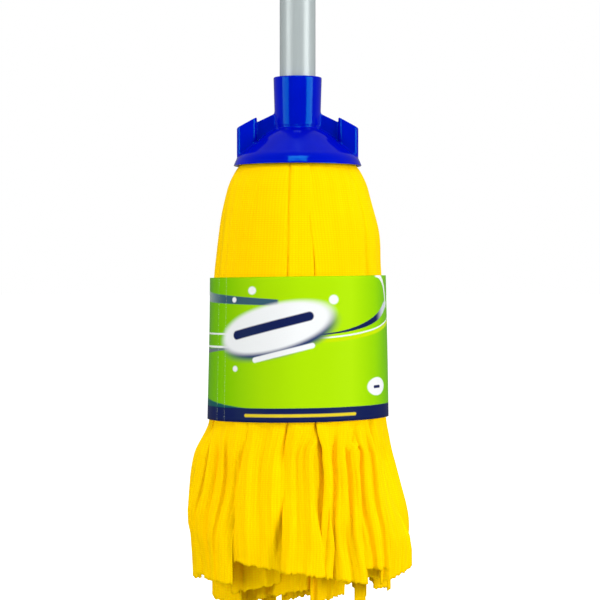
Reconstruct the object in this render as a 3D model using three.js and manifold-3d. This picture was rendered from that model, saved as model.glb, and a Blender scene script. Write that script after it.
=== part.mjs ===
// A strip mop: a coated tube handle that screws into a moulded cap, which holds layers of cloth
// strips, with a card sleeve round them. Millimetres, +Z up. The origin is where a hook bears on
// the crown of the hanging eye, and everything hangs below it.
import * as THREE from 'three';
import { mergeVertices } from 'three/addons/utils/BufferGeometryUtils.js';
import Module from 'manifold-3d';

const wasm = await Module();
wasm.setup();

// ---- driving dimensions ----
const CLEARANCE = 0.35;           // between pieces that touch or slide
const CHAMFER = 0.6;              // on moulded edges
const ROUND_SEGMENTS = 32;
const BELL_SEGMENTS = 40;
const SLEEVE_SEGMENTS = 48;
const SMALL_SEGMENTS = 12;
const BEYOND = 10;                // how far a cutting solid runs past what it cuts

const TUBE_RADIUS = 11;
const TUBE_WALL = 0.8;
const TUBE_LENGTH = 1100;
const TUBE_INSIDE = TUBE_RADIUS - TUBE_WALL;
const PLUG_RADIUS = TUBE_INSIDE * Math.cos(Math.PI / ROUND_SEGMENTS) - 0.3;

const EYE_HOLE_RADIUS = 9;
const EYE_RIM = 5;                // width of the eye's ring
const EYE_THICKNESS = 6;
const EYE_STEM_RADIUS = 3;
const EYE_NECK = 5;                // half width of the eye's foot, and its collar's radius
const EYE_SNAP_RADIUS = 4.6;
const EYE_SNAP_LENGTH = 4;
const CAP_GAP = 2;                // from the eye's foot to the end cap
const CAP_HEIGHT = 9;             // end cap above the tube's end
const CAP_WALL = 3;               // its top
const CAP_SIDE = 2;               // its skirt
const CAP_SKIRT = 26;
const CAP_LIP = 0.4;              // how far it stands out past the tube

const THREAD_PITCH = 5;
const THREAD_TURNS = 4.4;
const TIP_CORE = 8.6;
const TIP_CREST = 10.1;
const TIP_BORE = 5.5;
const TIP_TAPER = 2;
const THREAD_LEAD = 4;            // from the flange to the middle of the first ridge
const RIDGE = { root: 3.0, crest: 1.4 };
const GROOVE = { root: 3.9, crest: 2.3 };
const TIP_LENGTH = 28;            // below the flange
const TIP_FLANGE = 2;
const TIP_PLUG = 28;              // inside the tube
const TIP_SEGMENTS = 14;          // per turn of the thread
const SUNK = 0.6;                 // how far a thread's root goes into its cylinder

const SOCKET_TOP_RADIUS = 14.85;
const SOCKET_BASE_RADIUS = 13.9;
const SOCKET_HEIGHT = 30.4;
const MOUTH_RADIUS = 11.4;
const MOUTH_DEPTH = 10.2;
const TUBE_ENTRY = 7.5;           // how far the tube's end goes into the mouth
const BORE_RADIUS = 9.1;
const GROOVE_RADIUS = 10.6;
const GROOVE_EXTRA_TURNS = 1.4;
const BORE_FLOOR = -44.5;
const BOSS_RADIUS = 13.4;
const BOSS_TOP = -34;
const BOSS_END = -52;
const PILOT_RADIUS = 2.3;
const PILOT_CEILING = -45.7;

const BELL_WALL = 1.7;
const BELL_TOP = -32;              // where the bell meets the socket
const BELL_SHOULDER = [19.6, -35.7];
const BELL_FLANK = [37.2, -50.0];
const BELL_RIM = [39.3, -55.3];

const WEB_THICKNESS = 5;
const LUG_DEPTH = 14;
const LUG_CORNER = 3;
const POST_FOOT = -70;            // the lug's and the web's blanks, before they are cut to outline
const POST_HEIGHT = 60;
const LUG_INNER = 25;
const LUG_OUTER = 37.2;
// One wing's outline in X and Z: the web's sloping top, a step up to the lug, and a foot that
// stays inside the bell's wall.
const WING_OUTLINE = [
  [12, -22.2],
  [LUG_INNER - 0.2, -28.4],
  [LUG_INNER, -25.5],
  [LUG_OUTER, -32.2],
  [LUG_OUTER, -52],
  [30, -46],
  [12, -36],
];

const STRIP_THICKNESS = 2.1;
const STRIP_GAP = 0.5;            // between neighbours in a layer
const LAYER_STEP = 2.6;           // between layers where they are gathered
const LAYERS = [
  { name: 'outer', count: 16, radiusShare: 1.0, end: -300, across: 2 },
  { name: 'middle', count: 13, radiusShare: 0.79, end: -310, across: 2 },
  { name: 'inner', count: 9, radiusShare: 0.56, end: -315, across: 3 },
  { name: 'core', count: 5, radiusShare: 0.33, end: -312, across: 3 },
];
const END_STAGGER = 5;
const GOLDEN = (Math.sqrt(5) - 1) / 2;

const SLEEVE_TOP = -123.4;
const SLEEVE_BOTTOM = -209.4;
const SLEEVE_TOP_RADIUS = 54.3;
const SLEEVE_BOTTOM_RADIUS = 55.8;
const SLEEVE_WALL = 0.5;

const DISH_WALL = 2.25;
const DISH_HUB = 12;
const DISH_RADIUS = 27;
const DISH_DROP = 9.4;            // from the boss to the top of its rim
const SCREW_RADIUS = 1.95;
const SCREW_HEAD_RADIUS = 4.4;
const SCREW_HEAD = 2.6;

// ---- heights that follow from them ----
const EYE_CENTRE = -EYE_HOLE_RADIUS;
const EYE_FOOT = EYE_CENTRE - EYE_HOLE_RADIUS - EYE_RIM;
const END_CAP_TOP = EYE_FOOT - CAP_GAP;
const TUBE_TOP = END_CAP_TOP - CAP_HEIGHT;
const TUBE_BOTTOM = TUBE_TOP - TUBE_LENGTH;
const HEAD = TUBE_BOTTOM + TUBE_ENTRY;     // the socket's mouth: head pieces are drawn from it
const FLANGE_TOP = TUBE_BOTTOM - 0.3;
const FLANGE_FOOT = FLANGE_TOP - TIP_FLANGE;

// ---- shape helpers ----
function turned(profile, segments = ROUND_SEGMENTS) {
  const points = profile.map(([r, z]) => new THREE.Vector2(r, z));
  const geometry = new THREE.LatheGeometry(points, segments);
  return geometry.rotateX(Math.PI / 2);
}

// A profile of a ring, closed on itself.
function ring(profile, segments = ROUND_SEGMENTS) {
  return turned([...profile, profile[0]], segments);
}

// An outline in X and Z, as thick as depth along Y and centred on it.
function plate(outline, depth) {
  const shape = outline instanceof THREE.Shape
    ? outline
    : new THREE.Shape(outline.map(([x, z]) => new THREE.Vector2(x, z)));
  const geometry = new THREE.ExtrudeGeometry(shape, {
    depth, bevelEnabled: false, curveSegments: 16,
  });
  geometry.translate(0, 0, -depth / 2);
  return geometry.rotateX(Math.PI / 2);
}

function toSolid(geometry) {
  const bare = geometry.clone();
  bare.deleteAttribute('normal');
  bare.deleteAttribute('uv');
  const merged = mergeVertices(bare, 1e-4);
  const corners = merged.index.array;
  const kept = [];
  for (let i = 0; i < corners.length; i += 3) {
    const [a, b, c] = corners.slice(i, i + 3);
    if (a !== b && b !== c && c !== a) {
      kept.push(a, b, c);
    }
  }
  return new wasm.Manifold(new wasm.Mesh({
    numProp: 3,
    vertProperties: merged.attributes.position.array,
    triVerts: new Uint32Array(kept),
  }));
}

function toGeometry(solid) {
  const mesh = solid.getMesh();
  const geometry = new THREE.BufferGeometry();
  geometry.setAttribute('position', new THREE.BufferAttribute(mesh.vertProperties, mesh.numProp));
  geometry.setIndex(new THREE.BufferAttribute(mesh.triVerts, 1));
  geometry.computeVertexNormals();
  return geometry;
}

function join(...geometries) {
  return geometries.map(toSolid).reduce((all, one) => all.add(one));
}

// A right-handed helical ridge round the Z axis, running down from height top. Its flanks slope
// from width.root at rootRadius to width.crest at crestRadius.
function helix(rootRadius, crestRadius, width, top, turns) {
  const steps = Math.ceil(turns * TIP_SEGMENTS);
  const geometry = new THREE.BoxGeometry(turns, 1, 1, steps, 1, 1);
  const place = geometry.attributes.position;
  for (let i = 0; i < place.count; i += 1) {
    const turn = place.getX(i) + turns / 2;
    const outward = place.getY(i) + 0.5;
    const angle = -turn * 2 * Math.PI;
    const radius = THREE.MathUtils.lerp(rootRadius, crestRadius, outward);
    const across = THREE.MathUtils.lerp(width.root, width.crest, outward);
    const z = top - turn * THREAD_PITCH + place.getZ(i) * across;
    place.setXYZ(i, radius * Math.cos(angle), radius * Math.sin(angle), z);
  }
  return geometry;
}

// ---- the handle ----
function hangEye() {
  const outside = EYE_HOLE_RADIUS + EYE_RIM;
  const shape = new THREE.Shape();
  const neckAngle = Math.asin(EYE_NECK / outside);
  shape.absarc(0, EYE_CENTRE, outside, -Math.PI / 2 + neckAngle, 1.5 * Math.PI - neckAngle, false);
  shape.lineTo(-EYE_NECK, EYE_FOOT);
  shape.lineTo(EYE_NECK, EYE_FOOT);
  shape.closePath();
  const hole = new THREE.Path();
  hole.absarc(0, EYE_CENTRE, EYE_HOLE_RADIUS, 0, 2 * Math.PI, true);
  shape.holes.push(hole);
  const snapTop = END_CAP_TOP - CAP_WALL - CLEARANCE;
  const snapEnd = snapTop - EYE_SNAP_LENGTH;
  const stem = turned([
    [0, snapEnd],
    [EYE_STEM_RADIUS - 1, snapEnd],
    [EYE_SNAP_RADIUS, snapTop - CHAMFER],
    [EYE_STEM_RADIUS, snapTop],
    [EYE_STEM_RADIUS, END_CAP_TOP + CLEARANCE],
    [EYE_NECK, END_CAP_TOP + CLEARANCE],
    [EYE_NECK, EYE_FOOT + 1],
    [0, EYE_FOOT + 2],
  ], 20);
  return toGeometry(join(plate(shape, EYE_THICKNESS), stem));
}

function endCap() {
  const hole = EYE_STEM_RADIUS + CLEARANCE;
  const inside = PLUG_RADIUS - CAP_SIDE;
  const outside = TUBE_RADIUS + CAP_LIP;
  const foot = TUBE_TOP - CAP_SKIRT;
  return ring([
    [hole, END_CAP_TOP],
    [hole, END_CAP_TOP - CAP_WALL],
    [inside, END_CAP_TOP - CAP_WALL],
    [inside, foot],
    [PLUG_RADIUS - CHAMFER, foot],
    [PLUG_RADIUS, foot + 2],
    [PLUG_RADIUS, TUBE_TOP + CLEARANCE],
    [outside, TUBE_TOP + CLEARANCE],
    [outside, END_CAP_TOP - 4],
    [outside - 1.4, END_CAP_TOP - 1],
    [outside - 3.9, END_CAP_TOP],
  ]);
}

function handleTube() {
  return ring([
    [TUBE_RADIUS, TUBE_BOTTOM],
    [TUBE_RADIUS, TUBE_TOP],
    [TUBE_INSIDE, TUBE_TOP],
    [TUBE_INSIDE, TUBE_BOTTOM],
  ]);
}

function threadedTip() {
  const end = FLANGE_FOOT - TIP_LENGTH;
  const plugTop = TUBE_BOTTOM + TIP_PLUG;
  const core = ring([
    [TIP_BORE, end],
    [TIP_CORE - 2 * CHAMFER, end],
    [TIP_CORE, end + TIP_TAPER],
    [TIP_CORE, FLANGE_FOOT],
    [TUBE_RADIUS, FLANGE_FOOT],
    [TUBE_RADIUS, FLANGE_TOP],
    [PLUG_RADIUS, FLANGE_TOP],
    [PLUG_RADIUS, plugTop - TIP_TAPER],
    [PLUG_RADIUS - CHAMFER, plugTop],
    [TIP_BORE, plugTop],
  ]);
  const ridge = helix(
    TIP_CORE - SUNK, TIP_CREST, RIDGE, FLANGE_FOOT - THREAD_LEAD, THREAD_TURNS,
  );
  return toGeometry(join(core, ridge));
}

// ---- the cap: one moulding, drawn as its socket and its bell ----
// The wing on the +X side: a thin web out from the socket, and a lug with rounded corners.
function wing() {
  const outline = toSolid(plate(WING_OUTLINE, LUG_DEPTH + 2));
  const web = new THREE.BoxGeometry(LUG_INNER, WEB_THICKNESS, POST_HEIGHT)
    .translate(LUG_INNER / 2 + LUG_CORNER, 0, POST_FOOT + POST_HEIGHT / 2);
  return outline.intersect(join(web, roundedPost()));
}

function roundedPost() {
  const halfWidth = (LUG_OUTER - LUG_INNER) / 2;
  const halfDepth = LUG_DEPTH / 2;
  const shape = new THREE.Shape();
  const quarter = Math.PI / 2;
  const corners = [[1, 1], [-1, 1], [-1, -1], [1, -1]];
  corners.forEach(([x, y], i) => {
    shape.absarc(
      x * (halfWidth - LUG_CORNER), y * (halfDepth - LUG_CORNER), LUG_CORNER,
      i * quarter, (i + 1) * quarter, false,
    );
  });
  const geometry = new THREE.ExtrudeGeometry(shape, {
    depth: POST_HEIGHT, bevelEnabled: false, curveSegments: 4,
  });
  return geometry.translate((LUG_INNER + LUG_OUTER) / 2, 0, POST_FOOT);
}

// The socket with its threaded bore, and the boss that the clamp screw goes into.
function headSocket() {
  const outside = toSolid(turned([
    [0, BOSS_END],
    [BOSS_RADIUS - CHAMFER, BOSS_END],
    [BOSS_RADIUS, BOSS_END + CHAMFER],
    [BOSS_RADIUS, BOSS_TOP],
    [SOCKET_BASE_RADIUS, -SOCKET_HEIGHT],
    [SOCKET_TOP_RADIUS, -CHAMFER],
    [SOCKET_TOP_RADIUS - CHAMFER, 0],
    [0, 0],
  ]));
  const bore = toSolid(turned([
    [0, BORE_FLOOR],
    [BORE_RADIUS, BORE_FLOOR],
    [BORE_RADIUS, -MOUTH_DEPTH],
    [MOUTH_RADIUS, -MOUTH_DEPTH],
    [MOUTH_RADIUS, 1],
    [0, 1],
  ]));
  const pilot = toSolid(turned([
    [0, BOSS_END - 1],
    [PILOT_RADIUS, BOSS_END - 1],
    [PILOT_RADIUS, PILOT_CEILING],
    [0, PILOT_CEILING],
  ], SMALL_SEGMENTS));
  const grooveTop = FLANGE_FOOT - HEAD - THREAD_LEAD + THREAD_PITCH;
  const groove = toSolid(helix(
    BORE_RADIUS - SUNK, GROOVE_RADIUS, GROOVE, grooveTop, THREAD_TURNS + GROOVE_EXTRA_TURNS,
  ));
  return toGeometry(outside.subtract(bore).subtract(groove).subtract(pilot));
}

// The bell and its two wings, a close ring round the socket.
function headBell() {
  const outside = toSolid(turned([
    [0, BELL_RIM[1]],
    BELL_RIM,
    [BELL_RIM[0] - 0.2, BELL_RIM[1] + 1.5],
    BELL_FLANK,
    BELL_SHOULDER,
    [SOCKET_BASE_RADIUS, BELL_TOP],
    [0, BELL_TOP],
  ], BELL_SEGMENTS));
  const cavity = toSolid(ring([
    [BOSS_RADIUS, BOSS_END - BEYOND],
    [BELL_RIM[0] - BELL_WALL, BELL_RIM[1] - BEYOND],
    [BELL_RIM[0] - BELL_WALL, BELL_RIM[1] + 1],
    [BELL_FLANK[0] - BELL_WALL, BELL_FLANK[1] - BELL_WALL / 2],
    [BELL_SHOULDER[0] - CHAMFER, BELL_SHOULDER[1] - 2],
    [BOSS_RADIUS, BELL_SHOULDER[1] + 1],
  ], BELL_SEGMENTS));
  const socketSpace = toSolid(turned([
    [0, BOSS_END - BEYOND],
    [BOSS_RADIUS + CLEARANCE, BOSS_END - BEYOND],
    [BOSS_RADIUS + CLEARANCE, BOSS_TOP],
    [SOCKET_BASE_RADIUS + CLEARANCE, -SOCKET_HEIGHT],
    [SOCKET_TOP_RADIUS + CLEARANCE, 0],
    [0, 0],
  ]));
  const oneWing = wing();
  return toGeometry(
    outside.add(oneWing).add(oneWing.rotate([0, 0, 180])).subtract(cavity).subtract(socketSpace),
  );
}

// ---- the strips ----
// The outer layer's middle line, from the gather inside the bell down to the flare, as [radius, z].
const MIDDLE_LINE = [
  [16.4, -38.9],
  [26.2, -46.6],
  [34.4, -53.4],
  [37.3, -58.6],
  [41.2, -64],
  [45.9, -84],
  [51.0, -124],
  [53.3, -209],
  [57.6, -222],
  [61.6, -240],
  [65.2, -268],
  [65.6, -300],
];
const GATHER_POINTS = 5;
const RAMP = 60;                  // height over which the layers spread inward
const SLIP = 0.19;                // how far each deeper layer starts along the first stretch

function unitNormal(index) {
  const before = MIDDLE_LINE[Math.max(index - 1, 0)];
  const after = MIDDLE_LINE[Math.min(index + 1, MIDDLE_LINE.length - 1)];
  const along = new THREE.Vector2(after[0] - before[0], after[1] - before[1]).normalize();
  return new THREE.Vector2(-along.y, along.x);
}

// The same line for one layer: offset inward where gathered, drawn in to its share further down.
function layerLine(depth, layer, end) {
  const inward = depth * LAYER_STEP;
  return MIDDLE_LINE.map(([r, z], i) => {
    const normal = unitNormal(i);
    let offset = new THREE.Vector2(r - normal.x * inward, z - normal.y * inward);
    if (i === 0) {
      const next = MIDDLE_LINE[1];
      offset = offset.lerp(
        new THREE.Vector2(next[0] - normal.x * inward, next[1] - normal.y * inward), depth * SLIP,
      );
    }
    const spread = THREE.MathUtils.smoothstep(MIDDLE_LINE[GATHER_POINTS - 1][1] - z, 0, RAMP);
    const share = new THREE.Vector2(r * layer.radiusShare, z);
    const point = offset.lerp(share, depth === 0 ? 0 : spread);
    if (i === MIDDLE_LINE.length - 1) {
      point.y = end;
    }
    return point;
  });
}

function strip(depth, layer, index) {
  const stagger = ((index * GOLDEN) % 1) * 2 - 1;
  const line = layerLine(depth, layer, layer.end + stagger * END_STAGGER);
  const lengths = line.length - 1;
  const geometry = new THREE.BoxGeometry(1, 1, lengths, layer.across, 1, lengths);
  const place = geometry.attributes.position;
  const middle = (index + (depth % 2) / 2) * 2 * Math.PI / layer.count;
  for (let i = 0; i < place.count; i += 1) {
    const step = Math.round(lengths / 2 - place.getZ(i));
    const at = line[step];
    const before = line[Math.max(step - 1, 0)];
    const after = line[Math.min(step + 1, lengths)];
    const along = after.clone().sub(before).normalize();
    const proud = place.getY(i) * STRIP_THICKNESS;
    const radius = at.x - along.y * proud;
    const z = at.y + along.x * proud;
    const halfWidth = Math.PI / layer.count - STRIP_GAP / 2 / at.x;
    const angle = middle - place.getX(i) * 2 * halfWidth;
    place.setXYZ(i, radius * Math.cos(angle), radius * Math.sin(angle), z);
  }
  return geometry;
}

// ---- what clamps the strips, and the sleeve round them ----
function clampDish() {
  const top = BOSS_END - CLEARANCE;
  const rimTop = BOSS_END - DISH_DROP;
  return ring([
    [PILOT_RADIUS, top],
    [PILOT_RADIUS, top - DISH_WALL],
    [DISH_HUB, top - DISH_WALL],
    [DISH_RADIUS - 1.6, rimTop - DISH_WALL],
    [DISH_RADIUS, rimTop - DISH_WALL + CHAMFER],
    [DISH_RADIUS, rimTop],
    [DISH_HUB + 5.5, top - 1],
    [DISH_HUB + 3.5, top],
  ]);
}

function clampScrew() {
  const headTop = BOSS_END - DISH_WALL - 2 * CLEARANCE;
  return turned([
    [0, headTop - SCREW_HEAD],
    [SCREW_HEAD_RADIUS - 1.6, headTop - SCREW_HEAD],
    [SCREW_HEAD_RADIUS, headTop - SCREW_HEAD / 2],
    [SCREW_HEAD_RADIUS, headTop],
    [SCREW_RADIUS, headTop],
    [SCREW_RADIUS, PILOT_CEILING - SCREW_RADIUS],
    [0, PILOT_CEILING - CLEARANCE],
  ], SMALL_SEGMENTS);
}

function cardSleeve() {
  return ring([
    [SLEEVE_BOTTOM_RADIUS, SLEEVE_BOTTOM],
    [SLEEVE_TOP_RADIUS, SLEEVE_TOP],
    [SLEEVE_TOP_RADIUS - SLEEVE_WALL, SLEEVE_TOP],
    [SLEEVE_BOTTOM_RADIUS - SLEEVE_WALL, SLEEVE_BOTTOM],
  ], SLEEVE_SEGMENTS);
}

// ---- materials and assembly ----
const coatedMetal = new THREE.MeshStandardMaterial({
  color: 0xa9adaf, roughness: 0.42, metalness: 0.35,
});
const bluePlastic = new THREE.MeshStandardMaterial({
  color: 0x0a22c8, roughness: 0.2, metalness: 0,
});
const yellowCloth = new THREE.MeshStandardMaterial({
  color: 0xffe400, roughness: 0.9, metalness: 0,
});
const steel = new THREE.MeshStandardMaterial({
  color: 0xb5b8bb, roughness: 0.35, metalness: 1,
});
const greenCard = new THREE.MeshStandardMaterial({
  color: 0x8fc91e, roughness: 0.35, metalness: 0,
});

function named(name, geometry, material) {
  const mesh = new THREE.Mesh(geometry, material.clone());
  mesh.name = name;
  return mesh;
}

const mop = new THREE.Group();
mop.add(named('hang_eye', hangEye(), bluePlastic));
mop.add(named('end_cap', endCap(), bluePlastic));
mop.add(named('handle_tube', handleTube(), coatedMetal));
mop.add(named('threaded_tip', threadedTip(), bluePlastic));

const head = new THREE.Group();
head.position.z = HEAD;
head.add(named('head_socket', headSocket(), bluePlastic));
head.add(named('head_bell', headBell(), bluePlastic));
head.add(named('clamp_dish', clampDish(), bluePlastic));
head.add(named('clamp_screw', clampScrew(), steel));
head.add(named('card_sleeve', cardSleeve(), greenCard));
LAYERS.forEach((layer, depth) => {
  for (let index = 0; index < layer.count; index += 1) {
    const number = String(index + 1).padStart(2, '0');
    head.add(named(`${layer.name}_strip_${number}`, strip(depth, layer, index), yellowCloth));
  }
});
mop.add(head);

export default mop;
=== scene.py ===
import math

import bmesh
import bpy
import numpy as np
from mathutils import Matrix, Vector


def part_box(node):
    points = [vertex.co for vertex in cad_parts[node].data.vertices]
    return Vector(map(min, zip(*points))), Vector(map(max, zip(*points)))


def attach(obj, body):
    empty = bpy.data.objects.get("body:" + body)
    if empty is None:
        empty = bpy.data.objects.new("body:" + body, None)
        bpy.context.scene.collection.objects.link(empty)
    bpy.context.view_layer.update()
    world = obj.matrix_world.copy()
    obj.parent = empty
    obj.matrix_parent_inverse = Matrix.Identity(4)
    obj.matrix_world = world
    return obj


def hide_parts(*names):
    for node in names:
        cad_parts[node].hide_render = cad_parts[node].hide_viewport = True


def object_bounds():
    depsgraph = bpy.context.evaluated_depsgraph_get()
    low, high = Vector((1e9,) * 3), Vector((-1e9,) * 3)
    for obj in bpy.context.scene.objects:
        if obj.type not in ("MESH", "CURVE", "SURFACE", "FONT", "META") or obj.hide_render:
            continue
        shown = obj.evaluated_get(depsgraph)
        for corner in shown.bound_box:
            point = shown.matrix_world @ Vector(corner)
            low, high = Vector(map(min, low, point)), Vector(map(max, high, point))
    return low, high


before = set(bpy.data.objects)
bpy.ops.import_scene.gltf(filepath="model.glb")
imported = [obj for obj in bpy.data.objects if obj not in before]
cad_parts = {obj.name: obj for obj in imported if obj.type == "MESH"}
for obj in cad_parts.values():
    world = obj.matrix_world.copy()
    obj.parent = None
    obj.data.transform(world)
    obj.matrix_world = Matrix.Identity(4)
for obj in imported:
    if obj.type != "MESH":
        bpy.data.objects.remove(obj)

CAD_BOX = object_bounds()
MM = 0.001
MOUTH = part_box("head_socket")[1][2]       # height of the socket's mouth; the head hangs below it
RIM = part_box("head_bell")[0][2]           # height of the bell's rim
SLEEVE_LOW, SLEEVE_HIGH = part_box("card_sleeve")


# ---- camera ----
def add_camera():
    """Level with the head, as far off as a product photograph is taken from."""
    frame_width = 0.3684                  # what the picture spans at the mop's axis
    distance = 1.3
    eye = MOUTH - 0.126
    centre = MOUTH - 0.1375
    data = bpy.data.cameras.new("camera")
    data.sensor_width = 36
    data.lens = data.sensor_width * distance / frame_width
    data.shift_x = 0.004                  # the mop hangs a little left of the picture's middle
    data.shift_y = (centre - eye) / frame_width
    data.clip_end = 100
    camera = bpy.data.objects.new("camera", data)
    camera.location = (0, -distance, eye)
    camera.rotation_euler = (math.pi / 2, 0, 0)
    bpy.context.scene.collection.objects.link(camera)
    bpy.context.scene.camera = camera


add_camera()


# ---- node helpers ----
def colour(red, green, blue):
    """An sRGB colour, 0 to 255, as linear light."""
    def linear(value):
        value /= 255
        return value / 12.92 if value <= 0.04045 else ((value + 0.055) / 1.055) ** 2.4
    return (linear(red), linear(green), linear(blue), 1.0)


class Nodes:
    """Builds a material's node tree in few words."""

    def __init__(self, name):
        self.material = bpy.data.materials.new(name)
        self.material.use_nodes = True
        self.tree = self.material.node_tree
        self.shader = self.tree.nodes["Principled BSDF"]

    def add(self, kind, inputs=(), **settings):
        node = self.tree.nodes.new(kind)
        for key, value in settings.items():
            setattr(node, key, value)
        for key, value in dict(inputs).items():
            self.feed(node.inputs[key], value)
        return node

    def feed(self, socket, value):
        if isinstance(value, bpy.types.NodeSocket):
            self.tree.links.new(value, socket)
        else:
            socket.default_value = value

    def math(self, operation, a, b=0.0, c=0.0):
        return self.add("ShaderNodeMath", {0: a, 1: b, 2: c}, operation=operation).outputs[0]

    def mix(self, factor, a, b):
        node = self.add("ShaderNodeMix", {0: factor, 6: a, 7: b}, data_type="RGBA")
        return node.outputs[2]

    def step(self, value, low, high):
        """0 below low, 1 above high, smooth between them."""
        node = self.add("ShaderNodeMapRange", {0: value, 1: low, 2: high},
                        interpolation_type="SMOOTHSTEP")
        return node.outputs[0]

    def ramp(self, value, stops):
        """A colour that runs through (place, colour) stops."""
        node = self.add("ShaderNodeValToRGB", {0: value})
        points = node.color_ramp.elements
        for place, _ in stops[2:]:
            points.new(place)
        for point, (place, shade) in zip(points, stops):
            point.position = place
            point.color = shade
        return node.outputs[0]

    def noise(self, vector, scale, detail=2.0, roughness=0.5):
        node = self.add("ShaderNodeTexNoise",
                        {"Vector": vector, "Scale": scale, "Detail": detail,
                         "Roughness": roughness})
        return node.outputs["Fac"]

    def place(self):
        return self.add("ShaderNodeTexCoord").outputs["Object"]

    def split(self, vector):
        return self.add("ShaderNodeSeparateXYZ", {0: vector}).outputs[:3]

    def uv(self, name):
        return self.add("ShaderNodeUVMap", uv_map=name).outputs["UV"]

    def bump(self, height, distance, strength=1.0):
        node = self.add("ShaderNodeBump", {"Height": height, "Distance": distance,
                                           "Strength": strength})
        return node.outputs["Normal"]

    def set(self, **values):
        for key, value in values.items():
            self.feed(self.shader.inputs[key.replace("_", " ")], value)
        return self.material

    # shapes drawn on a plane, each 1 inside and 0 outside
    def level(self, value, target, half, soft=0.25):
        """Within half of target."""
        off = self.math("ABSOLUTE", self.math("SUBTRACT", value, target))
        edge = self.math("SUBTRACT", off, half)
        return self.math("SUBTRACT", 1.0, self.step(edge, -soft, soft))

    def past(self, value, edge, soft=0.25):
        return self.step(value, edge - soft, edge + soft)

    def both(self, a, b):
        return self.math("MULTIPLY", a, b)

    def oval(self, u, v, centre, half, tilt=0.0, soft=0.25):
        """An ellipse, its long axis turned by tilt."""
        across = self.math("SUBTRACT", u, centre[0])
        down = self.math("SUBTRACT", v, centre[1])
        cos, sin = math.cos(tilt), math.sin(tilt)
        x = self.math("MULTIPLY_ADD", down, -sin, self.math("MULTIPLY", across, cos))
        y = self.math("MULTIPLY_ADD", down, cos, self.math("MULTIPLY", across, sin))
        x = self.math("POWER", self.math("DIVIDE", x, half[0]), 2.0)
        y = self.math("POWER", self.math("DIVIDE", y, half[1]), 2.0)
        size = self.math("SQRT", self.math("ADD", x, y))
        share = soft / min(half)
        return self.math("SUBTRACT", 1.0, self.step(size, 1 - share, 1 + share))

    def bar(self, u, v, centre, half, tilt=0.0, soft=0.25):
        """A bar with round ends, turned by tilt; half is half its length and half its height."""
        across = self.math("SUBTRACT", u, centre[0])
        down = self.math("SUBTRACT", v, centre[1])
        cos, sin = math.cos(tilt), math.sin(tilt)
        x = self.math("MULTIPLY_ADD", down, -sin, self.math("MULTIPLY", across, cos))
        y = self.math("MULTIPLY_ADD", down, cos, self.math("MULTIPLY", across, sin))
        x = self.math("SUBTRACT", self.math("ABSOLUTE", x), half[0] - half[1])
        x = self.math("MAXIMUM", x, 0.0)
        off = self.math("SQRT", self.math("ADD", self.both(x, x), self.both(y, y)))
        return self.math("SUBTRACT", 1.0, self.past(off, half[1], soft))


# ---- materials ----
CLOTH_UV = "cloth"
CARD_UV = "card"
CARD_ROUND = 2 * math.pi * SLEEVE_HIGH[0] / MM     # the card's length round the bundle
CREASES = (-58.2, -50.0)


def cloth_material():
    """Yellow stitch-bonded viscose: lengthwise wales crossed by fine courses, with painted shade in
    the knit's hollows.
    """
    wale, course = 1.9 * MM, 1.26 * MM
    n = Nodes("yellow_cloth")
    uv = n.uv(CLOTH_UV)
    across, along, _ = n.split(uv)
    jitter = n.noise(uv, 260.0)
    shifted = n.math("MULTIPLY_ADD", jitter, 0.35 * wale, across)
    rib = n.math("COSINE", n.math("MULTIPLY", shifted, 2 * math.pi / wale))
    stitch = n.math("COSINE", n.math("MULTIPLY", along, 2 * math.pi / course))
    rib01 = n.math("MULTIPLY_ADD", rib, 0.5, 0.5)
    stitch01 = n.math("MULTIPLY_ADD", stitch, 0.5, 0.5)
    ribs = n.math("MULTIPLY_ADD", n.math("POWER", rib01, 0.6), 0.45, 0.55)
    loops = n.math("MULTIPLY_ADD", stitch01, 0.5, 0.5)
    knit = n.math("MULTIPLY", ribs, loops)
    fuzz = n.noise(uv, 2400.0, 3.0, 0.7)
    patch = n.noise(uv, 22.0, 2.0)
    height = n.math("MULTIPLY_ADD", fuzz, 0.5, knit)
    bright = n.mix(n.step(patch, 0.35, 0.7), colour(255, 213, 0), colour(255, 220, 0))
    # painted shade: where the knit lies low its yellow is mixed towards a darker gold, shade
    # painted into the hollows
    hollow = n.math("MULTIPLY", n.math("SUBTRACT", 1.0, knit), 0.9)
    return n.set(
        Base_Color=n.mix(hollow, bright, colour(252, 190, 0)),
        Roughness=n.math("MULTIPLY_ADD", fuzz, 0.15, 0.8),
        Normal=n.bump(height, 0.25 * MM, 0.6),
        Sheen_Weight=0.05,
        Sheen_Tint=colour(255, 226, 40),
        Sheen_Roughness=0.5,
        Specular_IOR_Level=0.08,
        Specular_Tint=colour(255, 220, 20),
    )


def moulded_material(name, tint, deep, shine, roughness, ripple_scale=420.0):
    """Moulded plastic with a faint flow pattern and a fine ripple of its surface."""
    n = Nodes(name)
    place = n.place()
    flow = n.noise(place, 40.0, 3.0)
    ripple = n.noise(place, ripple_scale, 2.0)
    return n.set(
        Base_Color=n.mix(n.step(flow, 0.3, 0.75), tint, deep),
        Roughness=n.math("MULTIPLY_ADD", ripple, 0.08, roughness),
        Normal=n.bump(ripple, 0.03 * MM, 0.25),
        IOR=1.31,
        Specular_IOR_Level=0.6,
        Specular_Tint=shine,
    )


def tube_material():
    """Grey plastic-coated steel tube with fine lengthwise drawing marks."""
    n = Nodes("coated_tube")
    place = n.place()
    x, y, z = n.split(place)
    drawn = n.add("ShaderNodeCombineXYZ", {0: x, 1: y, 2: n.math("MULTIPLY", z, 0.02)})
    marks = n.noise(drawn.outputs[0], 900.0, 3.0, 0.6)
    cloud = n.noise(place, 18.0, 2.0)
    return n.set(
        Base_Color=n.mix(marks, colour(160, 169, 170), colour(178, 188, 187)),
        Metallic=0.12,
        Roughness=n.math("MULTIPLY_ADD", cloud, 0.12, 0.3),
        Normal=n.bump(marks, 0.02 * MM, 0.4),
    )


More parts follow.
